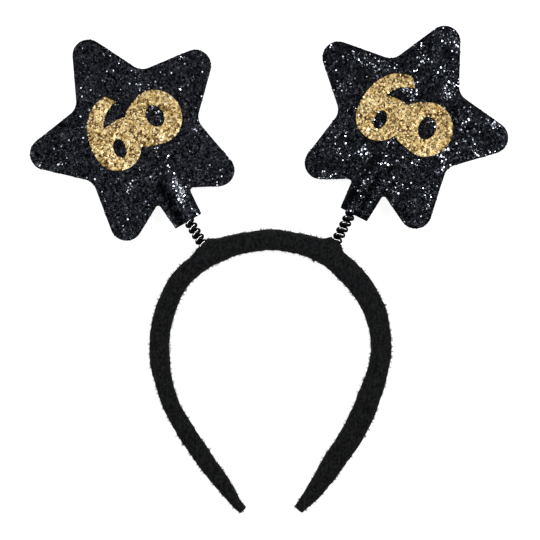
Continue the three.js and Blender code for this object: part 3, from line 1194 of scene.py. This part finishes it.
    def _hang_spring(self, side: str) -> list[bpy.types.Object]:
        """Makes the spring in two halves.

        Args:
            side: The bopper's side, as the pieces are named.

        Returns:
            The lower and the upper half.
        """
        foot, mouth = -self.foot, -self.stem_end
        middle = (foot + mouth) / 2.0
        finish = BLACK_WIRE.material()
        low = foot - self.foot_depth
        lower = self.spring(low, middle + self.overlap).to_object(f"spring_{side}_lower", True)
        upper = self.spring(middle - self.overlap, self.tail_end).to_object(f"spring_{side}_upper", True)
        for piece in (lower, upper):
            dress(piece, finish)
            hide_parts(f"spring_{side}")
        self.point(foot)
        self.point(middle)
        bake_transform(lower)
        self.point(middle)
        self.point(mouth)
        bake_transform(upper)
        return [lower, upper]

    def _lay_sheet(self, side: str, face: Face) -> list[bpy.types.Object]:
        """Makes one glitter sheet and its loose flakes.

        Args:
            side: The bopper's side, as the pieces are named.
            face: Front or back sheet.

        Returns:
            The sheet and its flakes.
        """
        node = f"star_{side}_{face.name.lower()}"

        def wanted(middles: np.ndarray, normals: np.ndarray) -> np.ndarray:
            """Weight of the sheet's triangles: only its outer side, and more where flakes gather."""
            outer = normals[:, 2] * face.value > 0.25
            return outer * np.exp(self.gather * ripple(middles, self.gather_length, self.clumps))

        skin = self.sheet(face)
        bedded = BLACK_GLITTER.sheet(self.flake_tilt)
        sheet = dress(skin.to_object(f"{node}_sheet", True), bedded)
        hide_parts(node)
        count = self.flakes if face is Face.FRONT else self.flakes // 2
        tilt = self.loose_lean * self.flake_tilt
        mix = FlakeMix(count, self.flake_sizes, self.flake_thick, tilt, self.seed + face.value)
        flakes, tone = mix.sprinkle(skin, wanted)
        loose = dress(flakes.to_object(f"{node}_flakes", False, tone), BLACK_GLITTER.loose())
        for piece in (sheet, loose):
            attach(piece, f"{side}_star")
        return [sheet, loose]

    def _glue_number(self, side: str, frame: dict) -> None:
        """Makes the gold number and its loose flakes.

        Args:
            side: The bopper's side, as the pieces are named.
            frame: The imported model.
        """
        node = f"numeral_{side}"
        sheet = GOLD_GLITTER.sheet(0.4 + 0.8 * self.flake_tilt)
        number = dress(self.number().to_object(f"number_{side}", True), sheet)
        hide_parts(node)
        ground = Surface.of_node(frame["nodes"][node])
        top = MID_HEIGHT + self.seam + self.sheet_thick + self.number_thick
        ground.points[:, 2] = np.where(ground.points[:, 2] > ground.points[:, 2].mean(), top, 0.0)
        thick, tilt = self.number_flake_thick, self.number_flake_tilt
        mix = FlakeMix(self.number_flakes, self.number_sizes, thick, tilt, self.seed + 7)
        flakes, tone = mix.sprinkle(ground, lambda middles, normals: normals[:, 2] > 0.9)
        loose = dress(flakes.to_object(f"number_{side}_flakes", False, tone), GOLD_GLITTER.loose())
        for piece in (number, loose):
            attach(piece, f"{side}_star")


@dataclass
class Band:
    """The padded hair band: felt pulled tight over a springy core, lying on its side edge.

    Attributes:
        rows: Sections from the left end over the crown to the right end. Each has the middle's x and y, the
            width in the band's plane and the height off the rest plane.
        boppers: The boppers whose springs come out of the felt.
        stations, sides: Rings along the band, and corners of a ring.
        power: Superellipse power of a section.
        press: How far the felt is pressed flat where it rests.
        end_reach: How far each rounded end stands out past the last section.
        lumps, dimples: Heights of the wide and the small unevenness of the felt.
        lump_length, dimple_length: Lengths of their waves.
        seam_depth, seam_half, seam_drop: The glued seam on the side that faces the head.
        hole_in, hole_out, hole_depth, hole_reach: The hole that a spring stands in: its radius at full depth
            and at its rim, its depth, and how far along the spring it acts.
        fibres: How many loose fibres lie on the felt.
        tufts, tuft_fibres, tuft_spread: How many tufts stand off its edges, the fibres in each, and how far
            apart they start.
        fibre_length, fibre_radius: Shortest and longest fibre, and thinnest and thickest one.
        long_share, longer: Share of the lying fibres that are longer, as those in tufts are, and by how much.
        stout, tuft_stout: Factor of the lying fibres' radius, and of those in tufts.
        bedded: How far under the skin a fibre starts.
    """

    rows: np.ndarray
    boppers: list[Bopper]
    stations: int = 460
    sides: int = 72
    power: float = 2.5
    press: float = 0.9
    end_reach: float = 0.9
    lumps: float = 0.22
    dimples: float = 0.2
    lump_length: float = 17.0
    dimple_length: float = 3.4
    seam_depth: float = 0.35
    seam_half: float = 0.55
    seam_drop: float = 1.6
    hole_in: float = 2.5
    hole_out: float = 3.7
    hole_depth: float = 2.6
    hole_reach: float = 5.0
    fibres: int = 12000
    tufts: int = 560
    tuft_fibres: int = 9
    tuft_spread: float = 0.12
    fibre_length: Pair = (0.4, 1.3)
    fibre_radius: Pair = (0.022, 0.042)
    long_share: float = 0.05
    longer: float = 1.9
    stout: float = 1.2
    tuft_stout: float = 1.6
    bedded: float = 0.12
    skin: Surface = field(init=False)

    def __post_init__(self) -> None:
        """Works out the felt's skin."""
        self.skin = self.felt()

    def felt(self, cap_rows: int = 8) -> Surface:
        """The felt's skin: a squared ellipse carried along a smooth spine.

        A section's point at angle a lies sign(cos a) |cos a|^(2/power) half widths outwards, and likewise up
        with the sine. At the ends sections shrink by (1 - s^3)^(1/3) while the spine goes on by s times the
        reach. The skin is pushed in and out by ripples and by the seam, raised to the tents, and cut flat at
        the rest plane.

        Args:
            cap_rows: Rings on each rounded end.

        Returns:
            The closed skin.
        """
        spine, sizes = SmoothCurve(self.rows[:, :2]), SmoothCurve(self.rows[:, 2:])
        t = spine.even(self.stations)
        path = spine.at(t)
        tangent = unit(np.gradient(path, axis=0))
        beyond = np.linspace(0.0, 0.98, cap_rows + 1)[1:]
        pick = np.clip(np.arange(-cap_rows, self.stations + cap_rows), 0, self.stations - 1)
        past = np.concatenate([-beyond[::-1], np.zeros(self.stations), beyond])
        shrink = np.cbrt(1.0 - np.abs(past) ** 3)[:, None]
        path = path[pick] + self.end_reach * past[:, None] * tangent[pick]
        outwards = np.stack([-tangent[pick, 1], tangent[pick, 0]], axis=-1)
        thick, deep = (sizes.at(t)[pick, axis][:, None] for axis in (0, 1))
        angle = 2.0 * math.pi * np.arange(self.sides)[None] / self.sides
        across = np.sign(np.cos(angle)) * np.abs(np.cos(angle)) ** (2.0 / self.power)
        up = np.sign(np.sin(angle)) * np.abs(np.sin(angle)) ** (2.0 / self.power)
        wide = path[:, None] + outwards[:, None] * (across * thick * shrink / 2.0)[..., None]
        z = (deep - self.press) / 2.0 + up * (deep + self.press) / 2.0 * shrink
        places = np.concatenate([wide, z[..., None]], axis=-1)
        rising = np.broadcast_to(up[..., None], z.shape + (1,))
        way = unit(np.concatenate([outwards[:, None] * across[..., None], rising], axis=-1))
        off_seam = z - (deep - self.press) / 2.0 + self.seam_drop
        groove = np.exp(-((off_seam / self.seam_half) ** 2)) * (across < -0.5)
        lumps = self.lumps * ripple(places, self.lump_length, 3)
        dimples = self.dimples * ripple(places, self.dimple_length, 4)
        push = lumps + dimples - self.seam_depth * groove
        places = places + (push * shrink)[..., None] * way
        for bopper in self.boppers:
            places = self._raise_tent(places, np.maximum(across, 0.0), bopper)
        places[..., 2] = np.maximum(places[..., 2], 0.0)
        return Surface.tube(places)

    def _raise_tent(self, places: np.ndarray, outward: np.ndarray, bopper: Bopper) -> np.ndarray:
        """Moves the felt up a bopper's tent, and down again into the hole that the spring stands in.

        A point rises along the spring by the lift times the square of its nearness to the tent's seat and
        its outward share. Close to the spring's axis it sinks again by a smooth step.

        Args:
            places: The felt's places.
            outward: How far outwards each corner of a ring faces.
            bopper: The bopper.

        Returns:
            The moved places.
        """
        local = bopper.bring(places)
        seat = np.array([bopper.tent_x, -bopper.foot - bopper.lift, 0.0])
        slope = (np.linalg.norm(local - seat, axis=-1) - bopper.tent_top) / (bopper.spread - bopper.tent_top)
        local[..., 1] += bopper.lift * (1.0 - np.clip(slope, 0.0, 1.0)) ** 2 * outward
        off_axis = np.hypot(local[..., 0] - bopper.spring_x, local[..., 2])
        by_foot = np.abs(local[..., 1] + bopper.foot) < self.hole_reach
        near = (1.0 - smoothstep(off_axis, self.hole_in, self.hole_out)) * by_foot
        local[..., 1] -= self.hole_depth * near * outward
        return bopper.place(local)

    def fuzz(self) -> tuple[Surface, np.ndarray]:
        """Loose fibres on the felt: three-sided spikes, bent once, that lie along it or stand off in tufts.

        A fibre starts just under the skin, goes over half its length one way and the rest another way,
        and thins to nothing. Its rings are spanned by two ways square to its first stretch. The fibres of
        a tuft start close together and lean alike.

        Returns:
            The fibres as one skin, and each corner's tone.
        """
        rng = np.random.default_rng(11)
        lying = self.skin.scatter(self.fibres, rng, lambda middles, normals: middles[:, 2] > 0.6)
        edge = self.skin.scatter(
            self.tufts, rng, lambda middles, normals: (middles[:, 2] > 1.5) * (np.abs(normals[:, 2]) < 0.5)
        )
        places, normals = (
            np.concatenate([part, np.repeat(tuft, self.tuft_fibres, axis=0)])
            for part, tuft in zip(lying, edge)
        )
        count, tufted = len(places), (np.arange(len(places)) >= self.fibres)[:, None]
        places = places + self.tuft_spread * tufted * rng.normal(size=places.shape)
        shared = np.repeat(rng.normal(size=edge[0].shape), self.tuft_fibres, axis=0)
        stray = rng.normal(size=normals.shape)
        alike = np.concatenate([stray[: self.fibres], 0.8 * shared + 0.45 * stray[self.fibres :]])
        first = unit(np.where(tufted, 0.8, 0.55) * normals + 0.6 * alike)
        first = unit(first + np.maximum(0.15 - (first * normals).sum(axis=1, keepdims=True), 0.0) * normals)
        second = unit(first + 0.7 * rng.normal(size=normals.shape))
        length = rng.uniform(*self.fibre_length, (count, 1))
        long = tufted | (rng.random((count, 1)) < self.long_share)
        length = length * np.where(long, self.longer, 1.0)
        start = places - self.bedded * normals
        elbow = start + 0.55 * length * first
        tip = elbow + 0.45 * length * second
        a = unit(np.cross(first, rng.normal(size=normals.shape)))
        b = np.cross(first, a)
        turn = (2.0 * math.pi * np.arange(3) / 3.0)[None, :, None]
        ring = np.cos(turn) * a[:, None] + np.sin(turn) * b[:, None]
        stout = np.where(tufted, self.tuft_stout, self.stout)[..., None]
        radius = rng.uniform(*self.fibre_radius, (count, 1, 1)) * stout
        rings = [start[:, None] + radius * ring, elbow[:, None] + 0.8 * radius * ring, tip[:, None]]
        corners = np.concatenate(rings, axis=1)
        corners[..., 2] = np.maximum(corners[..., 2], 0.02)
        k = np.arange(3)
        on = (k + 1) % 3
        sides = np.stack([k, on, on + 3, k + 3], axis=-1)
        ends = np.concatenate([np.stack([k + 3, on + 3, np.full(3, 6)], axis=-1), [[2, 1, 0]]])
        return Surface.copies(corners, [sides, ends]), np.repeat(rng.random(count), 7)

    def build(self) -> None:
        """Makes the felt and its fuzz, and lets both ride on the band."""
        felt = dress(self.skin.to_object("band_felt", True), BLACK_FELT.cloth())
        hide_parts("band")
        fibres, tone = self.fuzz()
        fuzz = dress(fibres.to_object("band_fuzz", False, tone), BLACK_FELT.fuzz())
        for piece in (felt, fuzz):
            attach(piece, "band")


@dataclass(frozen=True)
class Lamp:
    """A soft box that points at the object.

    Attributes:
        name: Name of the lamp.
        place: Where it stands, in metres.
        size: Its width, in metres.
        power: Its power, in watts.
        tall: Its height, in metres, where it isn't square.
    """

    name: str
    place: tuple[float, float, float]
    size: float
    power: float
    tall: float | None = None

    def hang(self, target: tuple[float, float, float]) -> bpy.types.Object:
        """Makes the lamp, turned to the target.

        Args:
            target: What it points at, in metres.

        Returns:
            The lamp.
        """
        light = bpy.data.lights.new(self.name, "AREA")
        light.shape, light.energy = "RECTANGLE", self.power
        light.size, light.size_y = self.size, self.tall or self.size
        lamp = bpy.data.objects.new(self.name, light)
        lamp.location = self.place
        lamp.rotation_euler = (Vector(target) - Vector(self.place)).to_track_quat("-Z", "Y").to_euler()
        lamp.visible_camera = False
        bpy.context.scene.collection.objects.link(lamp)
        return lamp


@dataclass(frozen=True)
class Studio:
    """Pale lit floor, soft boxes and the camera straight above.

    Attributes:
        lamps: The soft boxes.
        strip_away, strip_high, strip_turn: How far from a spring its strip light stands, how high, and by how
            many degrees anticlockwise of the spring's axis.
        strip_long, strip_tall, strip_power: The strip's length, height and power.
        graze_away, graze_high, graze_turn: The same for the soft box that catches a stem's slope, with its
            degrees anticlockwise of the way across the stem.
        graze_size, graze_power: The soft box's width and power.
        target: What the soft boxes point at, in metres.
        sky: Strength of the even light from all round.
        field: Width that the camera sees at the springs' height, in millimetres.
        aim: What the camera looks straight down on, in millimetres.
        lens, sensor: Focal length and sensor width of the long lens.
        level_y, level, fall_end, fall: Middle and radius of the level floor that the band lies on, and the
            radius at which the floor lies lower by the fall, in millimetres.
        floor_reach, floor_gap: Radius of the whole floor, and how far it lies under the rest plane, in
            millimetres.
    """

    lamps: tuple[Lamp, ...] = (
        Lamp("key soft box", (0.45, 0.20, 0.80), 0.28, 5.4),
        Lamp("right bank", (1.00, 0.10, 0.90), 0.70, 0.8),
        Lamp("left bank", (-0.65, 0.35, 0.95), 0.70, 7.4),
        Lamp("front bank", (0.00, -1.10, 0.90), 0.70, 1.5),
    )
    strip_away: float = 0.7
    strip_high: float = 0.15
    strip_turn: float = 10.0
    strip_long: float = 2.0
    strip_tall: float = 0.16
    strip_power: float = 560.0
    graze_away: float = 0.87
    graze_high: float = 0.52
    graze_turn: float = 9.4
    graze_size: float = 0.5
    graze_power: float = 9.5
    target: tuple[float, float, float] = (0.0, 0.03, 0.0)
    sky: float = 0.12
    field: float = 297.0
    aim: tuple[float, float] = (0.28, -0.28)
    lens: float = 180.0
    sensor: float = 36.0
    level_y: float = -58.0
    level: float = 82.0
    fall_end: float = 250.0
    fall: float = 75.0
    floor_reach: float = 4000.0
    floor_gap: float = 0.1

    def build(self) -> None:
        """Sets up the floor, the light and the camera."""
        self._lay_floor()
        self._light()
        camera = bpy.data.cameras.new("camera")
        camera.lens, camera.sensor_width = self.lens, self.sensor
        stand = bpy.data.objects.new("camera", camera)
        away = self.field * self.lens / self.sensor
        stand.location = MM * Vector((*self.aim, MID_HEIGHT + away))
        bpy.context.scene.collection.objects.link(stand)
        bpy.context.scene.camera = stand

    def rim(self, bopper: Bopper, wires: list[bpy.types.Object]) -> None:
        """Hangs a strip beyond a star that draws a light line on its spring's wire, and lights nothing else.

        Args:
            bopper: The bopper.
            wires: The pieces of its spring.
        """
        spring = bopper.point(-0.5 * (bopper.foot + bopper.stem_end))
        place = self._beside(spring, 90.0 + bopper.turn + self.strip_turn, self.strip_away, self.strip_high)
        name = f"{bopper.side.value} spring strip"
        strip = Lamp(name, place, self.strip_long, self.strip_power, tall=self.strip_tall)
        self._light_only(strip, spring, wires)

    def graze(self, bopper: Bopper, glitter: list[bpy.types.Object]) -> None:
        """Hangs a low soft box that makes the flakes on the right slope of a star's stem flash.

        Args:
            bopper: The bopper.
            glitter: The pieces of its star's sheets.
        """
        stem = bopper.point(bopper.ridge_full)
        place = self._beside(stem, bopper.turn + self.graze_turn, self.graze_away, self.graze_high)
        box = Lamp(f"{bopper.side.value} stem soft box", place, self.graze_size, self.graze_power)
        self._light_only(box, stem, glitter)

    def _beside(
        self, point: tuple[float, ...], degrees: float, away: float, high: float
    ) -> tuple[float, ...]:
        """A lamp's place, away from a point by a distance at an angle from +X, and at a height."""
        heading = math.radians(degrees)
        return point[0] + away * math.cos(heading), point[1] + away * math.sin(heading), high

    def _light_only(self, lamp: Lamp, target: tuple[float, ...], pieces: list[bpy.types.Object]) -> None:
        """Hangs a lamp that lights these pieces alone, and that only they shade.

        Args:
            lamp: The lamp.
            target: What it points at, in metres.
            pieces: The pieces.
        """
        lit = bpy.data.collections.new(f"lit by {lamp.name}")
        for piece in pieces:
            lit.objects.link(piece)
        hung = lamp.hang(target)
        hung.light_linking.receiver_collection = lit
        hung.light_linking.blocker_collection = lit

    def _lay_floor(self, rows: int = 40, sides: int = 96) -> None:
        """Makes the floor: a round slab that is level under the band and falls away softly all round it.

        Its top lies just under the rest plane, and lower by the fall times a smooth step of the distance from
        the level's middle, so that the stars have room to nod down. Shiny pieces don't mirror it.

        Args:
            rows: Rings on the fall.
            sides: Corners of a ring.
        """
        radius = np.linspace(self.fall_end, self.level, rows)
        height = -self.fall * smoothstep(radius, self.level, self.fall_end)
        radius = np.concatenate([[self.floor_reach] * 2, radius])
        height = np.concatenate([[-2.0 * self.fall, -self.fall], height]) - self.floor_gap
        turn = np.linspace(0.0, 2.0 * math.pi, sides, endpoint=False)
        x, y = radius[:, None] * np.cos(turn), self.level_y + radius[:, None] * np.sin(turn)
        rings = np.stack([x, y, np.broadcast_to(height[:, None], x.shape)], axis=-1)
        floor = Surface.tube(rings).to_object("floor", True)
        floor.data.materials.append(LIT_TABLE.material())
        floor.visible_glossy = False

    def _light(self) -> None:
        """Sets the even sky and the soft boxes, and plain display of colours."""
        scene = bpy.context.scene
        scene.world = bpy.data.worlds.new("sky")
        scene.world.use_nodes = True
        background = scene.world.node_tree.nodes["Background"]
        background.inputs["Color"].default_value = (1.0, 1.0, 1.0, 1.0)
        background.inputs["Strength"].default_value = self.sky
        scene.view_settings.view_transform = "Standard"
        for lamp in self.lamps:
            lamp.hang(self.target)


def boppers() -> list[Bopper]:
    """The two boppers, as the part's source places them.

    Returns:
        The left bopper and the right one.
    """
    left = Bopper(
        Side.LEFT, x=-74.0, y=74.5, turn=30.6, stem_x=1.0, stem_end=56.2, spring_x=1.2, spring_turn=0.36,
        tent_x=2.5, foot=71.0, lift=2.8, tent_top=3.0, spread=12.0,
        number_x=-0.1, number_y=0.7, number_turn=0.0, number_lean=-10.0,
        flake_tilt=0.52, flakes=4800, clumps=570, seed=21,
    )
    right = Bopper(
        Side.RIGHT, x=73.0, y=80.8, turn=-27.55, stem_x=-0.3, stem_end=57.2, spring_x=-2.0, spring_turn=0.17,
        tent_x=-2.4, foot=73.5, lift=5.0, tent_top=2.5, spread=8.5,
        number_x=-0.9, number_y=0.0, number_turn=5.0, number_lean=0.0,
        flake_tilt=0.57, flakes=7600, clumps=42, seed=42,
    )
    return [left, right]


def band_rows() -> np.ndarray:
    """The band's sections from left end to right end: x and y of the middle, width and height.

    Returns:
        One row for each section.
    """
    return np.array(
        [
            (-15.1, -132.3, 5.2, 8.0),
            (-18.2, -128.9, 5.6, 8.6),
            (-23.2, -121.4, 7.6, 9.6),
            (-35.5, -104.8, 9.9, 11.0),
            (-46.2, -88.6, 9.9, 11.6),
            (-55.2, -72.0, 9.4, 12.0),
            (-60.6, -44.6, 11.1, 12.6),
            (-57.3, -22.5, 10.9, 13.2),
            (-49.2, -5.8, 10.9, 13.6),
            (-34.9, 6.3, 11.2, 13.9),
            (-27.9, 10.2, 12.3, 14.0),
            (-20.4, 13.1, 11.6, 14.0),
            (0.5, 16.3, 11.4, 14.0),
            (19.7, 13.3, 11.7, 14.0),
            (28.0, 10.3, 13.1, 14.0),
            (35.4, 5.6, 12.4, 13.9),
            (47.6, -5.8, 13.0, 13.6),
            (57.7, -22.5, 12.2, 13.2),
            (61.4, -44.6, 11.2, 12.6),
            (54.3, -72.0, 12.7, 12.2),
            (46.8, -88.6, 12.7, 11.8),
            (36.0, -105.0, 12.3, 11.2),
            (24.9, -121.6, 9.1, 9.8),
            (19.4, -128.4, 6.6, 8.8),
            (16.5, -131.9, 5.4, 8.2),
        ]
    )


def main() -> None:
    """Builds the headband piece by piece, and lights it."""
    logging.basicConfig(level=logging.INFO, format="%(name)s: %(message)s")
    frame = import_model()
    pair = boppers()
    studio = Studio()
    studio.build()
    Band(band_rows(), pair).build()
    for bopper in pair:
        wires, glitter = bopper.build(frame)
        studio.rim(bopper, wires)
        if bopper.side is Side.LEFT:
            studio.graze(bopper, glitter)


if __name__ == "__main__":
    main()
